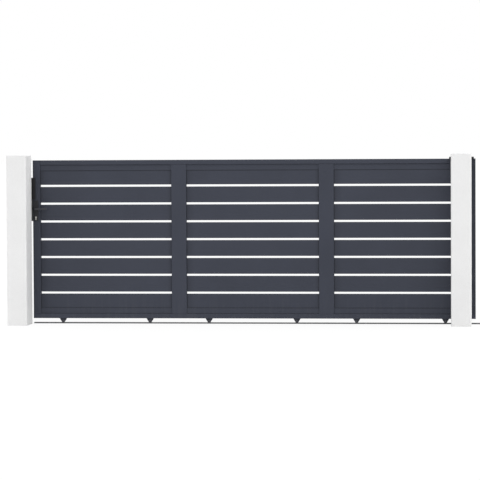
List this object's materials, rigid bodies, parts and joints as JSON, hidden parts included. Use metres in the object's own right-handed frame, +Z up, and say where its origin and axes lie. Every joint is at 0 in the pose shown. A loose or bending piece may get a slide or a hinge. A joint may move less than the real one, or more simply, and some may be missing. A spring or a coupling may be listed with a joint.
{
  "type": "sliding gate",
  "caption": "Sliding driveway gate with a horizontally slatted aluminium leaf on grooved wheels, a ground rail, a roller guide, a lever lock and two rendered pillars.",
  "frame": {"origin": "middle of the right pillar's base, at ground level", "axes": "+X to the right along the gate as seen from the street, the way the leaf opens; +Y away from the street, through the gate; +Z up"},
  "size_m": [8.396, 0.44, 1.612],
  "materials": {
    "render": "matte",
    "leaf_coat": "satin",
    "galvanised": "satin",
    "black_steel": "matte",
    "black_fitting": "satin",
    "black_plastic": "matte",
    "black_rubber": "matte",
    "wheel_steel": "satin",
    "zinc": "satin",
    "nickel": "satin",
    "nylon": "satin"
  },
  "bodies": {
    "ground_set": {"left_pillar": "render", "right_pillar": "render", "passage_rail": "galvanised", "run_back_rail": "galvanised", "guide_bracket": "black_steel", "guide_rollers": "nylon", "guide_pins": "zinc", "keep": "black_steel", "keep_buffer": "black_rubber", "opening_stop": "black_steel", "stop_pad": "black_rubber"},
    "leaf": {"bottom_rail": "leaf_coat", "top_rail": "leaf_coat", "middle_stile_1": "leaf_coat", "middle_stile_2": "leaf_coat", "left_stile": "leaf_coat", "right_stile": "leaf_coat", "lower_strips": "leaf_coat", "upper_strips": "leaf_coat", "slats_1": "leaf_coat", "slats_2": "leaf_coat", "slats_3": "leaf_coat", "end_caps": "black_plastic", "wheel_forks": "black_steel", "wheel_axles": "zinc", "lock_plates": "black_fitting", "key_cylinder": "nickel"},
    "handle": {"front_lever": "black_fitting", "back_lever": "black_fitting", "lever_spindle": "zinc"},
    "wheel_1": {"wheel_1": "wheel_steel"},
    "wheel_2": {"wheel_2": "wheel_steel"},
    "wheel_3": {"wheel_3": "wheel_steel"},
    "wheel_4": {"wheel_4": "wheel_steel"},
    "wheel_5": {"wheel_5": "wheel_steel"},
    "wheel_6": {"wheel_6": "wheel_steel"}
  },
  "joints": [
    {"name": "leaf_slide", "type": "slide", "parent": "ground_set", "child": "leaf", "axis": [1, 0, 0], "range_m": [0, 3.83]},
    {"name": "lever_turn", "type": "hinge", "parent": "leaf", "child": "handle", "pos_m": [-4.063, 0.22, 1.098], "axis": [0, 1, 0], "range_deg": [0, 45], "stiffness_Nm_per_rad": 1.5, "springref_deg": -20.05},
    {"name": "wheel_1_spin", "type": "hinge", "parent": "leaf", "child": "wheel_1", "pos_m": [-3.809, 0.22, 0.027], "axis": [0, 1, 0], "continuous": true},
    {"name": "wheel_2_spin", "type": "hinge", "parent": "leaf", "child": "wheel_2", "pos_m": [-2.969, 0.22, 0.027], "axis": [0, 1, 0], "continuous": true},
    {"name": "wheel_3_spin", "type": "hinge", "parent": "leaf", "child": "wheel_3", "pos_m": [-2.401, 0.22, 0.027], "axis": [0, 1, 0], "continuous": true},
    {"name": "wheel_4_spin", "type": "hinge", "parent": "leaf", "child": "wheel_4", "pos_m": [-1.561, 0.22, 0.027], "axis": [0, 1, 0], "continuous": true},
    {"name": "wheel_5_spin", "type": "hinge", "parent": "leaf", "child": "wheel_5", "pos_m": [-0.993, 0.22, 0.027], "axis": [0, 1, 0], "continuous": true},
    {"name": "wheel_6_spin", "type": "hinge", "parent": "leaf", "child": "wheel_6", "pos_m": [-0.153, 0.22, 0.027], "axis": [0, 1, 0], "continuous": true}
  ],
  "couplings": [
    {"joint": "wheel_1_spin", "follows": "leaf_slide", "rad_per_m": 66.667},
    {"joint": "wheel_2_spin", "follows": "leaf_slide", "rad_per_m": 66.667},
    {"joint": "wheel_3_spin", "follows": "leaf_slide", "rad_per_m": 66.667},
    {"joint": "wheel_4_spin", "follows": "leaf_slide", "rad_per_m": 66.667},
    {"joint": "wheel_5_spin", "follows": "leaf_slide", "rad_per_m": 66.667},
    {"joint": "wheel_6_spin", "follows": "leaf_slide", "rad_per_m": 66.667}
  ]
}
